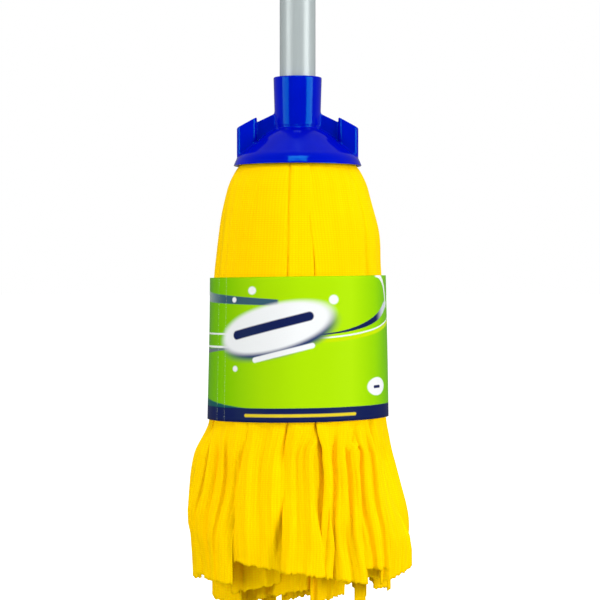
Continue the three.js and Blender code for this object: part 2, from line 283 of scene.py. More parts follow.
def steel_material():
    n = Nodes("screw_steel")
    place = n.place()
    turning = n.noise(place, 1800.0, 3.0, 0.6)
    return n.set(
        Base_Color=n.mix(turning, colour(168, 170, 174), colour(205, 206, 208)),
        Metallic=1.0,
        Roughness=n.math("MULTIPLY_ADD", turning, 0.2, 0.25),
        Normal=n.bump(turning, 0.02 * MM, 0.5),
    )


def ink(red, green, blue):
    """A printed colour as it looks under the studio's light, which is brighter than white."""
    light = 1.16
    return tuple(value / light for value in colour(red, green, blue)[:3]) + (1.0,)


def card_material():
    """Glossy printed card: shaded green, a dark foot band, swooshes, dots and a plain oval.

    u runs round the card from its front and v down from its top edge, both in millimetres.
    """
    navy, white = ink(14, 20, 88), ink(250, 252, 254)
    n = Nodes("printed_card")
    uv = n.uv(CARD_UV)
    u, v, _ = n.split(uv)
    share = n.math("MULTIPLY_ADD", u, 1 / CARD_ROUND, 0.5)
    paint = n.ramp(share, [
        (0.0, ink(96, 176, 4)), (0.24, ink(84, 168, 2)), (0.34, ink(126, 202, 4)),
        (0.44, ink(174, 229, 8)), (0.52, ink(180, 234, 8)), (0.60, ink(184, 238, 10)),
        (0.70, ink(126, 204, 4)), (0.80, ink(92, 172, 2)), (1.0, ink(96, 176, 4))])

    def lay(mask, shade):
        nonlocal paint
        paint = n.mix(mask, paint, shade)

    # what runs off to the left comes to an end before the card's joint at the back
    lasting = n.step(u, -140.0, -95.0)

    def ending(half):
        return n.math("SUBTRACT", n.math("MULTIPLY", n.math("ADD", half, 1.0), lasting), 1.0)

    # the blue-grey swoosh that comes in from the left
    swoosh_middle = n.math("MULTIPLY_ADD", u, 0.057, 16.0)
    swoosh_half = ending(n.math("MULTIPLY_ADD", u, -0.018, 1.6))
    swoosh_off = n.math("ABSOLUTE", n.math("SUBTRACT", v, swoosh_middle))
    swoosh = n.math("SUBTRACT", 1.0, n.past(n.math("SUBTRACT", swoosh_off, swoosh_half), 0.0, 0.4))
    swoosh = n.both(swoosh, n.math("SUBTRACT", 1.0, n.past(u, -12.0, 1.0)))
    fade = n.step(u, -88.0, -50.0)
    lay(swoosh, n.mix(fade, ink(176, 200, 190), ink(58, 92, 116)))

    # thin lines lower on the left
    left = n.both(n.math("SUBTRACT", 1.0, n.past(u, -44.0, 6.0)), n.past(u, -126.0, 1.0))
    band_middle = n.math("MULTIPLY_ADD", u, -0.06, 39.7)
    band_half = ending(n.math("MULTIPLY_ADD", u, -0.03, -0.9))
    band_off = n.math("ABSOLUTE", n.math("SUBTRACT", v, band_middle))
    band = n.math("SUBTRACT", 1.0, n.past(n.math("SUBTRACT", band_off, band_half), 0.0, 0.4))
    lay(n.both(band, left), ink(110, 124, 132))
    lay(n.both(n.level(v, 33.8, 0.5), left), white)
    lay(n.both(n.level(v, 41.6, 0.6), left), white)

    # the sweep down from the top right, and the thin double line beneath it
    flat_v = n.math("DIVIDE", n.math("ADD", v, 1.0), 36.0)
    flat_u = n.math("DIVIDE", u, 87.0)
    sweep = n.math("SQRT", n.math("ADD", n.both(flat_u, flat_u), n.both(flat_v, flat_v)))
    width = n.math("MULTIPLY_ADD", n.step(u, 14.0, 66.0), 0.034, 0.010)
    sweep_off = n.math("ABSOLUTE", n.math("SUBTRACT", sweep, 1.0))
    ring = n.math("SUBTRACT", 1.0, n.past(n.math("SUBTRACT", sweep_off, width), 0.0, 0.008))
    ring = n.both(ring, n.both(n.past(u, 15.0, 2.0), n.past(v, 16.0, 1.0)))
    lay(ring, n.mix(n.step(u, 58.0, 70.0), navy, ink(214, 222, 230)))
    curl_u = n.math("SUBTRACT", u, 57.5)
    curl_v = n.math("SUBTRACT", v, 19.0)
    curl = n.math("SQRT", n.math("ADD", n.both(curl_u, curl_u), n.both(curl_v, curl_v)))
    curl = n.both(n.level(curl, 19.5, 1.4, 0.5),
                  n.both(n.past(curl_u, 1.0, 2.0), n.math("SUBTRACT", 1.0, n.past(v, 19.5, 1.0))))
    lay(curl, white)
    right = n.past(u, 16.0, 6.0)
    droop = n.math("MULTIPLY", n.both(u, u), -0.0015)
    lay(n.both(n.level(n.math("SUBTRACT", v, droop), 38.6, 1.1, 0.7), right), ink(208, 236, 6))
    lay(n.both(n.level(n.math("SUBTRACT", v, droop), 36.8, 0.45), right), white)

    # the oval: its shadow, itself and two plain bars where words would be
    tilt = math.radians(13)
    lay(n.oval(u, v, (-13.0, 34.0), (37.0, 13.0), tilt, 2.2), ink(36, 52, 112))
    lay(n.oval(u, v, (-15.5, 30.0), (38.0, 13.5), tilt, 1.6), white)
    lay(n.bar(u, v, (-16.5, 29.0), (27.0, 2.7), tilt, 0.5), navy)
    lay(n.bar(u, v, (-9.0, 45.0), (20.0, 1.6), tilt, 0.4), white)

    for centre, radius in (((-29.0, 8.0), 2.4), ((-42.6, 13.4), 1.6), ((22.5, 14.0), 2.8),
                           ((-41.2, 54.4), 1.7)):
        lay(n.oval(u, v, centre, (radius * 1.1, radius), 0.0, 0.5), white)
    lay(n.oval(u, v, (58.5, 66.6), (10.6, 5.4), 0.0, 0.4), white)
    lay(n.bar(u, v, (58.5, 66.8), (4.0, 0.9), 0.0, 0.3), navy)

    # the foot band, its wedge, and a plain gold line in it
    wedge_edge = n.math("ADD", n.math("MULTIPLY", n.math("MULTIPLY", u, 0.1), lasting), 81.0)
    wedge = n.both(n.step(n.math("SUBTRACT", v, wedge_edge), -0.5, 0.5),
                   n.math("SUBTRACT", 1.0, n.past(u, -28.0, 2.0)))
    lay(wedge, ink(20, 92, 96))
    lay(n.past(v, 77.6, 0.3), navy)
    lay(n.bar(u, v, (2.0, 82.0), (36.0, 0.9), 0.0, 0.4), ink(240, 214, 50))

    # fold lines, drawn pale in patches along the creases
    fold_patches = n.noise(uv, 1.2, 3.0)
    for crease in CREASES:
        lay(n.math("MULTIPLY", n.level(u, crease, 0.15, 0.35), n.step(fold_patches, 0.45, 0.7)),
            ink(222, 240, 200))
    grain = n.noise(uv, 1.6, 3.0)
    dull = n.mix(n.math("MULTIPLY", grain, 0.08), paint, ink(90, 130, 20))
    # the inside face is bare grey board
    back = n.math("MULTIPLY_ADD", grain, 0.1, 0.75)
    bare = n.add("ShaderNodeCombineColor", {0: back, 1: back, 2: back}).outputs[0]
    inside = n.step(n.split(n.uv("side"))[0], 0.4, 0.6)
    return n.set(
        Base_Color=n.mix(inside, dull, bare),
        Roughness=n.math("MULTIPLY_ADD", grain, 0.1, 0.24),
        Normal=n.bump(grain, 0.02 * MM, 0.3),
        IOR=1.09,
        Specular_IOR_Level=0.5,
        Specular_Tint=colour(190, 255, 60),
    )


MATERIALS = {
    "yellow_cloth": cloth_material(),
    "cap_plastic": moulded_material("blue_plastic", colour(0, 7, 176), colour(0, 12, 187),
                                    colour(20, 225, 255), 0.08),
    "tip_plastic": moulded_material("grey_plastic", colour(44, 47, 52), colour(56, 59, 64),
                                    colour(255, 255, 255), 0.38),
    "coated_tube": tube_material(),
    "screw_steel": steel_material(),
    "printed_card": card_material(),
}


# ---- mesh helpers ----
def mesh_from(name, vertices, faces, smooth=True):
    mesh = bpy.data.meshes.new(name)
    mesh.from_pydata(np.asarray(vertices).tolist(), [], [tuple(face) for face in faces])
    work = bmesh.new()
    work.from_mesh(mesh)
    bmesh.ops.remove_doubles(work, verts=work.verts, dist=1e-6)
    bmesh.ops.dissolve_degenerate(work, edges=work.edges, dist=1e-7)
    bmesh.ops.recalc_face_normals(work, faces=work.faces)
    work.to_mesh(mesh)
    work.free()
    mesh.polygons.foreach_set("use_smooth", [smooth] * len(mesh.polygons))
    mesh.update()
    return mesh


def eased(corners, steps=5):
    """A path through (x, y, easing) corners in millimetres, each corner rounded over its easing."""
    points = []
    for i, (x, y, easing) in enumerate(corners):
        here = Vector((x, y))
        if not easing or i in (0, len(corners) - 1):
            points.append(here)
            continue
        back = Vector(corners[i - 1][:2]) - here
        on = Vector(corners[i + 1][:2]) - here
        start = here + back.normalized() * min(easing, back.length * 0.49)
        end = here + on.normalized() * min(easing, on.length * 0.49)
        for step in range(steps + 1):
            t = step / steps
            points.append(start * (1 - t) ** 2 + here * 2 * t * (1 - t) + end * t**2)
    return points


def stepped(points, spacing):
    """The same path with its long stretches cut up, in metres."""
    path = []
    for a, b in zip(points[:-1], points[1:]):
        count = max(1, math.ceil((b - a).length / spacing))
        path += [a.lerp(b, i / count) for i in range(count)]
    path.append(points[-1])
    return np.array([[p.x, p.y] for p in path]) * MM


def turned(name, corners, z=0.0, segments=128, spacing=1.5, closed=False, shift=None):
    """A solid of revolution from (r, z) corners; shift may move each (r, z, angle)."""
    if closed:
        half = ((corners[0][0] + corners[-1][0]) / 2, (corners[0][1] + corners[-1][1]) / 2, 0)
        corners = [half, *corners, half]
    path = stepped(eased(corners), spacing)
    angle = np.arange(segments) * 2 * math.pi / segments
    r = np.repeat(path[:, :1], segments, axis=1)
    h = np.repeat(path[:, 1:], segments, axis=1)
    theta = np.repeat(angle[None, :], len(path), axis=0)
    if shift:
        r, h = shift(r, h, theta)
    points = np.stack([r * np.cos(theta), r * np.sin(theta), h + z], axis=-1).reshape(-1, 3)
    rows = np.arange(len(path) - 1)[:, None] * segments
    col = np.arange(segments)[None, :]
    nxt = (col + 1) % segments
    faces = np.stack([rows + col, rows + nxt, rows + segments + nxt, rows + segments + col],
                     axis=-1).reshape(-1, 4)
    return mesh_from(name, points, faces)


def add_piece(name, mesh, body, slot, nodes):
    """Puts a mesh in the scene as a piece of a body, in place of the CAD nodes it stands for."""
    piece = bpy.data.objects.new(name, mesh)
    bpy.context.scene.collection.objects.link(piece)
    piece.data.materials.append(MATERIALS[slot])
    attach(piece, body)
    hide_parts(*nodes)
    return piece


def combine(base, others, operation):
    """Joins or cuts the mesh base by the other meshes, and gives back the mesh."""
    target = bpy.data.objects.new("base", base)
    bpy.context.scene.collection.objects.link(target)
    helpers = [target]
    for other in others:
        tool = bpy.data.objects.new("tool", other)
        bpy.context.scene.collection.objects.link(tool)
        helpers.append(tool)
        cut = target.modifiers.new("cut", "BOOLEAN")
        cut.operation = operation
        cut.solver = "EXACT"
        cut.object = tool
    shaped = target.evaluated_get(bpy.context.evaluated_depsgraph_get())
    result = bpy.data.meshes.new_from_object(shaped)
    for helper in helpers:
        bpy.data.objects.remove(helper)
    result.name = base.name
    return result


# ---- the screw thread, as ridges and grooves on round surfaces ----
THREAD_PITCH = 5.0 * MM


def thread_height(h, theta, start, turns, root_half, crest_half):
    """0 off the thread and 1 on its crest; right-handed, from start downwards."""
    turn = (start - h) / THREAD_PITCH + theta / (2 * math.pi)
    nearest = np.round(turn)
    off = np.abs(turn - nearest) * THREAD_PITCH
    flank = np.clip((root_half - off) / (root_half - crest_half), 0, 1)
    reach = (start - h) / THREAD_PITCH
    ends = np.clip((reach + 0.25) * 2, 0, 1) * np.clip((turns + 0.25 - reach) * 2, 0, 1)
    return flank * ends


# ---- the handle ----
TUBE = {"low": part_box("handle_tube")[0][2], "high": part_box("handle_tube")[1][2]}
TUBE_RADIUS, TUBE_INSIDE = 11.0, 10.2
END_CAP_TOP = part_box("end_cap")[1][2]
EYE_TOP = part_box("hang_eye")[1][2]
TIP_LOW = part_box("threaded_tip")[0][2]


def add_tube():
    length = (TUBE["high"] - TUBE["low"]) / MM
    mesh = turned("handle_tube", [
        (TUBE_RADIUS, 0.0, 0.3), (TUBE_RADIUS, length, 0.3), (TUBE_INSIDE, length, 0.2),
        (TUBE_INSIDE, 0.0, 0.2)], z=TUBE["low"], segments=96, spacing=20.0, closed=True)
    add_piece("tube", mesh, "handle", "coated_tube", ["handle_tube"])


def add_end_cap():
    foot = TUBE["high"] / MM - END_CAP_TOP / MM - 26.0
    seat = TUBE["high"] / MM - END_CAP_TOP / MM + 0.35
    mesh = turned("end_cap", [
        (3.35, -3.0, 0.2), (3.35, 0.0, 0.5), (7.6, 0.0, 2.2), (10.4, -1.3, 2.0),
        (11.4, -4.6, 1.5), (11.4, seat, 0.4), (9.85, seat, 0.1), (9.85, foot + 2, 0.5),
        (9.2, foot, 0.3), (7.85, foot, 0.3), (7.85, -3.0, 0.5)],
        z=END_CAP_TOP, segments=96, closed=True)
    add_piece("cap_of_handle", mesh, "handle", "cap_plastic", ["end_cap"])


def add_tip():
    """The screwed plug: its flange bears on the tube's end, its ridges climb to the right."""
    flange_foot = TUBE["low"] - 2.3 * MM
    end = (TIP_LOW - flange_foot) / MM
    start = -4.0 * MM

    def ridges(r, h, theta):
        on_core = (np.abs(r - 8.6 * MM) < 0.02 * MM) & (h < -0.2 * MM)
        lift = thread_height(h, theta, start, 4.4, 1.6 * MM, 0.7 * MM)
        return r + on_core * lift * 1.5 * MM, h

    mesh = turned("tip", [
        (5.5, end, 0.3), (7.4, end, 0.3), (8.6, end + 2, 0.8), (8.6, 0.0, 0.2),
        (11.0, 0.0, 0.3), (11.0, 2.0, 0.3), (9.85, 2.0, 0.1), (9.85, 28.3, 0.8),
        (9.2, 30.3, 0.3), (5.5, 30.3, 0.3)],
        z=flange_foot, segments=96, spacing=0.45, closed=True, shift=ridges)
    add_piece("tip", mesh, "handle", "tip_plastic", ["threaded_tip"])


def ring_of(points_at, count, rings, name):
    """A closed mesh lofted through rings of count points each, capped at both ends."""
    vertices = np.concatenate([points_at(i) for i in range(rings)])
    faces = []
    for i in range(rings - 1):
        for j in range(count):
            k = (j + 1) % count
            faces.append((i * count + j, i * count + k, (i + 1) * count + k, (i + 1) * count + j))
    faces.append(tuple(range(count - 1, -1, -1)))
    faces.append(tuple((rings - 1) * count + j for j in range(count)))
    return mesh_from(name, vertices, faces)


def add_eye():
    """A moulded ring on a swivelling stem."""
    hole, outer, half, ease = 9.0, 14.0, 3.0, 1.0
    section = eased([(hole, 0, 0), (hole, half, ease), (outer, half, ease), (outer, -half, ease),
                     (hole, -half, ease), (hole, 0, 0)])[:-1]
    around = 96
    points, faces = [], []
    for i in range(around):
        angle = 2 * math.pi * i / around
        for p in section:
            points.append((p.x * math.sin(angle) * MM, p.y * MM,
                           EYE_TOP - (outer - p.x * math.cos(angle)) * MM))
    size = len(section)
    for i in range(around):
        for j in range(size):
            a, b = i * size + j, i * size + (j + 1) % size
            c, d = (i + 1) % around * size + (j + 1) % size, (i + 1) % around * size + j
            faces.append((a, d, c, b))
    loop = mesh_from("eye", points, faces)
    foot = EYE_TOP / MM - 28.0 - END_CAP_TOP / MM
    stem = turned("stem", [
        (0.0, -7.35, 0), (2.2, -7.35, 0.3), (4.6, -3.95, 0.5), (3.0, -3.35, 0.3),
        (3.0, 0.35, 0.2), (5.0, 0.35, 0.4), (5.0, foot + 0.6, 1.0), (4.2, foot + 2.6, 1.5),
        (0.0, foot + 2.8, 0)], z=END_CAP_TOP, segments=64, spacing=0.8)
    add_piece("hanging_eye", combine(loop, [stem], "UNION"), "hanger", "cap_plastic", ["hang_eye"])


# ---- the cap ----
WEB_HALF, LUG_HALF = 2.5, 7.0


def block(name, low_x, high_x, half_y, corner, foot, top, ease):
    """A block with rounded corners whose foot and top are heights that depend on x."""
    around, levels, turn, lids = 72, 40, 6, 7
    middle = (low_x + high_x) / 2

    def outline(inset, shrink=1.0):
        a, b = (high_x - low_x) / 2 - inset, half_y - inset
        c = max(corner - inset, 0.05)
        straight = [(a - c, b - c), (-(a - c), b - c), (-(a - c), -(b - c)), (a - c, -(b - c))]
        loop = []
        for i, (x, y) in enumerate(straight):
            for step in range(9):
                angle = (i + step / 8) * math.pi / 2
                loop.append((x + c * math.cos(angle), y + c * math.sin(angle)))
        loop.append(loop[0])
        loop = np.array(loop)
        length = np.concatenate([[0], np.cumsum(np.hypot(*np.diff(loop, axis=0).T))])
        even = np.linspace(0, length[-1], around, endpoint=False)
        points = np.stack([np.interp(even, length, loop[:, k]) for k in (0, 1)], axis=1)
        return points * shrink + (middle, 0)

    def ring(i):
        if i < levels:
            flat = outline(0.0)
            low, high = foot(flat[:, 0]), top(flat[:, 0]) - ease
            z = low + (high - low) * i / (levels - 1)
        elif i < levels + turn:
            angle = (i - levels + 1) / turn * math.pi / 2
            flat = outline(ease * (1 - math.cos(angle)))
            z = top(flat[:, 0]) - ease * (1 - math.sin(angle))
        else:
            flat = outline(ease, 1 - (i - levels - turn + 1) / (lids + 0.4))
            z = top(flat[:, 0])
        return np.column_stack([flat, z]) * MM + (0, 0, MOUTH)

    return ring_of(ring, around, levels + turn + lids, name)


def line_through(*points):
    xs, zs = zip(*points)
    return lambda x: np.interp(x, xs, zs)


def wing_blocks(side):
    foot = line_through((8, -35.2), (19, -37.0), (30, -45.6), (36.5, -51.4), (38, -52))
    web = block(f"web_{side}", 9.5, 28.0, WEB_HALF, 0.6, foot,
                line_through((12, -22.2), (24.8, -28.4), (40, -36)), 0.6)
    lug = block(f"lug_{side}", 25.0, 37.2, LUG_HALF, 3.0, foot,
                line_through((25, -25.5), (37.2, -32.2)), 0.8)
    if side < 0:
        for mesh in (web, lug):
            for vertex in mesh.vertices:
                vertex.co.x *= -1
            mesh.flip_normals()
    return [web, lug]


def ease_hollows(mesh, reach, rounds):
    """Draws a small fillet into every hollow corner where solids were joined."""
    work = bmesh.new()
    work.from_mesh(mesh)
    bmesh.ops.triangulate(work, faces=[f for f in work.faces if len(f.verts) > 4])
    hollow = [e for e in work.edges
              if len(e.link_faces) == 2 and not e.is_convex and e.calc_face_angle(0) > 0.5
              and min(v.co.z for v in e.verts) > RIM + 2 * MM
              and max(math.hypot(v.co.x, v.co.y) for v in e.verts) > 13.0 * MM
              and max(abs(v.co.x) for v in e.verts) > 12.8 * MM
              and min(abs(v.co.y) for v in e.verts) < 8 * MM]
    corners = np.array([v.co for e in hollow for v in e.verts])
    if len(corners):
        weight = {}
        for vertex in work.verts:
            gap = np.min(np.sum((corners - np.array(vertex.co)) ** 2, axis=1)) ** 0.5
            if gap < reach:
                weight[vertex] = 0.5 * (1 - gap / reach)
        for _ in range(rounds):
            moved = {v: sum((e.other_vert(v).co for e in v.link_edges), Vector())
                     / len(v.link_edges) for v in weight}
            for vertex, target in moved.items():
                vertex.co = vertex.co.lerp(target, weight[vertex])
    work.to_mesh(mesh)
    work.free()
    mesh.polygons.foreach_set("use_smooth", [True] * len(mesh.polygons))
    mesh.update()


def add_cap():
    """Socket, bell and wings, one glossy moulding."""
    bore = 9.1 * MM
    brim = -0.9                           # the mouth's rounded brim, just under the CAD's face

    def grooves(r, h, theta):
        on_bore = (np.abs(r - bore) < 0.02 * MM) & (h < -10.4 * MM) & (h > -44 * MM)
        depth = thread_height(h, theta, -8.8 * MM, 5.8, 1.95 * MM, 1.15 * MM)
        return r + on_bore * depth * 1.5 * MM, h

    body = turned("cap", [
        (0, -44.5, 0), (9.1, -44.5, 0.5), (9.1, -10.2, 0.4), (11.4, -10.2, 0.3), (11.4, brim, 0.7),
        (14.85, brim, 0.9), (13.95, -30.2, 0.7), (13.2, -32.2, 1.0), (19.6, -35.7, 4.0),
        (37.2, -50.0, 2.5), (39.3, -55.3, 0.5), (37.6, -55.3, 0.4), (35.5, -50.8, 2.0),
        (19.0, -37.7, 2.0), (13.4, -35.2, 1.0), (13.4, -52.0, 0.5), (2.3, -52.0, 0.3),
        (2.3, -45.7, 0.2), (0, -45.7, 0)], z=MOUTH, segments=144, spacing=0.7, shift=grooves)
    blocks = wing_blocks(1) + wing_blocks(-1)
    mesh = combine(body, blocks, "UNION")
    ease_hollows(mesh, 2.2 * MM, 14)
    add_piece("cap", mesh, "head", "cap_plastic", ["head_socket", "head_bell"])


def add_clamp():
    """The dish that presses the strips into the bell, and its screw."""
    boss = -52.0
    dish = turned("dish", [
        (2.3, boss - 0.35, 0.2), (2.3, boss - 2.6, 0.3), (12.0, boss - 2.6, 2.0),
        (25.4, boss - 11.65, 1.0), (27.0, boss - 11.05, 0.5), (27.0, boss - 9.4, 0.5),
        (17.5, boss - 1.35, 2.0), (15.5, boss - 0.35, 1.0)],
        z=MOUTH, segments=96, closed=True)
    add_piece("dish", dish, "head", "cap_plastic", ["clamp_dish"])
    top = boss - 2.25 - 0.7
    screw = turned("screw", [
        (0, top - 1.3, 0), (1.2, top - 1.5, 0.3), (1.7, top - 2.6, 0.2), (2.8, top - 2.6, 0.6),
        (4.4, top - 1.3, 0.6), (4.4, top, 0.2), (1.95, top, 0.2), (1.95, -47.6, 0.4),
        (0, -46.1, 0)], z=MOUTH, segments=48, spacing=0.6)
    add_piece("screw", screw, "head", "screw_steel", ["clamp_screw"])


# ---- the card sleeve ----
def add_sleeve():
    """Thin card wrapped round the bundle: a little out of round, with two faint folds."""
    across, down, thick = 216, 48, 0.45 * MM
    height = SLEEVE_HIGH[2] - SLEEVE_LOW[2]
    top_radius, foot_radius = 54.3 * MM, 55.8 * MM
    askew = 0.0146                        # it sits a little higher on the right
    points, uv_plane, uv_side = [], [], []
    for side in (0, 1):
        for i in range(down + 1):
            v = i / down
            for j in range(across + 1):
                angle = -math.pi / 2 + (j / across - 0.5) * 2 * math.pi
                arc = (j / across - 0.5) * CARD_ROUND
                radius = top_radius + (foot_radius - top_radius) * v
                radius += 0.25 * MM * math.sin(5 * angle + 0.7 + 1.3 * v) - 0.3 * MM
                radius += 0.15 * MM * math.sin(11 * angle + 3.0 * v)
                for crease in CREASES:
                    radius += 0.45 * MM * math.exp(-((arc - crease) / 1.6) ** 2)
                radius -= side * thick
                x = radius * math.cos(angle)
                points.append((x, radius * math.sin(angle),
                               SLEEVE_HIGH[2] - height * v + askew * x + 0.3 * MM))
                uv_plane.append((arc, v * height / MM))
                uv_side.append((float(side), 0.0))
    stride = across + 1
    shell = (down + 1) * stride
    faces = []
    for i in range(down):
        for j in range(across):
            a = i * stride + j
            faces.append((a, a + stride, a + stride + 1, a + 1))
            faces.append((shell + a, shell + a + 1, shell + a + stride + 1, shell + a + stride))
    for i in (0, down):
        for j in range(across):
            a = i * stride + j
            rim = (a, a + 1, shell + a + 1, shell + a)
            faces.append(rim if i == 0 else rim[::-1])
    mesh = bpy.data.meshes.new("sleeve")
    mesh.from_pydata(points, [], faces)
    corners = np.array([index for face in faces for index in face])
    for name, values in ((CARD_UV, uv_plane), ("side", uv_side)):
        layer = mesh.uv_layers.new(name=name)
        layer.data.foreach_set("uv", np.array(values)[corners].ravel())
    work = bmesh.new()
    work.from_mesh(mesh)
    bmesh.ops.remove_doubles(work, verts=work.verts, dist=1e-6)
    work.to_mesh(mesh)
    work.free()
    mesh.polygons.foreach_set("use_smooth", [True] * len(mesh.polygons))
    mesh.update()
    add_piece("sleeve", mesh, "sleeve", "printed_card", ["card_sleeve"])


# ---- cloth strips ----
LAYERS = ("outer", "middle", "inner", "core")
FIRST_SEED = 11
CLOTH = 0.9 * MM                          # its thickness
ROWS = {"outer": 150, "middle": 120, "inner": 90, "core": 80}
COLUMNS = {"outer": 48, "middle": 34, "inner": 30, "core": 28}
FLARE_TOP = SLEEVE_LOW[2] + 6 * MM        # the strips start to open out here
FLARE_FULL = SLEEVE_LOW[2] - 22 * MM
TUCK = 7 * MM                             # how far an edge runs on beneath its neighbour
MORE_TUCK = 5 * MM                        # and at most this much more, to use up the cut width
CUT_WIDTH = 34 * MM                       # every strip is cut this wide
MOST_STRETCH = 1.05                       # of a strip's width
LOWEST_END = CAD_BOX[0][2] - 8 * MM

# the outer layer's boundaries that face the front: shift as a share of a strip, slit at the sleeve
FRONT = {9: (-0.48, 1.5 * MM), 10: (-0.14, 0), 11: (0.34, 0), 12: (0.2, 3.0 * MM),
         13: (0.37, 0), 14: (-0.1, 2.6 * MM)}


def smooth(value, low, high):
    share = np.clip((value - low) / (high - low), 0, 1)
    return share * share * (3 - 2 * share)


def drift(rng, places, knots, size):
    """A smooth random line through so many knots, read at places from 0 to 1."""
    values = rng.uniform(-size, size, knots)
    at = places * (knots - 1)
    index = np.clip(at.astype(int), 0, knots - 2)
    share = smooth(at - index, 0, 1)
    return values[index] * (1 - share) + values[index + 1] * share


def outer_radius(node, heights):
    """The greatest distance of a CAD solid from the Z axis at each height."""
    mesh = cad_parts[node].data
    points = np.empty(len(mesh.vertices) * 3)
    mesh.vertices.foreach_get("co", points)
    points = points.reshape(-1, 3)
    edges = np.empty(len(mesh.edges) * 2, dtype=int)
    mesh.edges.foreach_get("vertices", edges)
    a, b = edges.reshape(-1, 2).T
    radius = np.hypot(points[:, 0], points[:, 1])
    sloping = np.abs(points[a, 2] - points[b, 2]) > 1e-6
    a, b = a[sloping], b[sloping]
    low, high = points[a, 2], points[b, 2]
    found = []
    for z in heights:
        share = (z - low) / (high - low)
        crossed = (share >= 0) & (share <= 1)
        found.append((radius[a] + share * (radius[b] - radius[a]))[crossed].max())
    return np.array(found)


def skin_line(node, rows):
    """A strip's outer line from its gathered top to its cut end, evenly spaced, with its length."""
    low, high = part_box(node)
    heights = np.linspace(high[2] - 1.5 * MM, low[2] + 0.2 * MM, 240)
    radii = outer_radius(node, heights)
    padded = np.pad(radii, 6, mode="reflect", reflect_type="odd")
    radii = np.convolve(padded, np.ones(13) / 13, mode="valid")
    length = np.concatenate([[0], np.cumsum(np.hypot(np.diff(radii), np.diff(heights)))])
    even = np.linspace(0, length[-1], rows)
    return np.interp(even, length, radii), np.interp(even, length, heights), length[-1]


class Boundaries:
    """Where neighbouring strips of one layer meet, and which of the two lies on top."""

    def __init__(self, count, seed, placed):
        rng = np.random.default_rng(seed)
        self.count = count
        self.pitch = 2 * math.pi / count
        self.shift = rng.uniform(-0.3, 0.3, count)
        self.first_on_top = rng.random(count) < 0.55
        self.lap = rng.uniform(0.8, 2.2, count) * MM
        self.slit = np.where(rng.random(count) < 0.2, rng.uniform(1.6, 3.2, count), 0.0) * MM
        self.seeds = rng.integers(0, 2**31, count)
        self.parting = rng.uniform(-2.5, 1.8, count) * MM     # how far they part in the flare
        for index, (shift, slit) in placed.items():
            self.shift[index], self.slit[index] = shift, slit

    def after(self, index, places, opening):
        """The boundary between strip index and the next, as an angle past strip index."""
        index %= self.count
        rng = np.random.default_rng(self.seeds[index])
        sway = drift(rng, places, 6, 0.05) + drift(rng, places, 9, 0.12) * opening
        return self.pitch * (0.5 + self.shift[index] * (1 - 0.5 * opening) + sway)

    def gap(self, index, towards_sleeve, opening):
        """How far the strip on top draws back from the boundary."""
        index %= self.count
        return (self.slit[index] * towards_sleeve * (1 - opening)
                + max(self.parting[index], 0.0) * opening)


def lean(angle, height):
    """How much farther out the strips stand to the right and left than the CAD solids."""
    right_most, fold_most, left_most = 5.0, 3.0, 4.5      # in millimetres
    right = np.clip(np.cos(angle), 0, 1) ** 2
    left = np.clip(-np.cos(angle), 0, 1) ** 2
    below = (SLEEVE_LOW[2] - height) / MM
    loose = np.exp(-((height - (MOUTH - 0.098)) / (15 * MM))**2)
    swell = smooth(below, 2, 24) * (1 - 0.45 * smooth(below, 50, 105))
    return (right * (right_most * smooth(below, 14, 66) + fold_most * loose)
            + left_most * left * swell) * MM


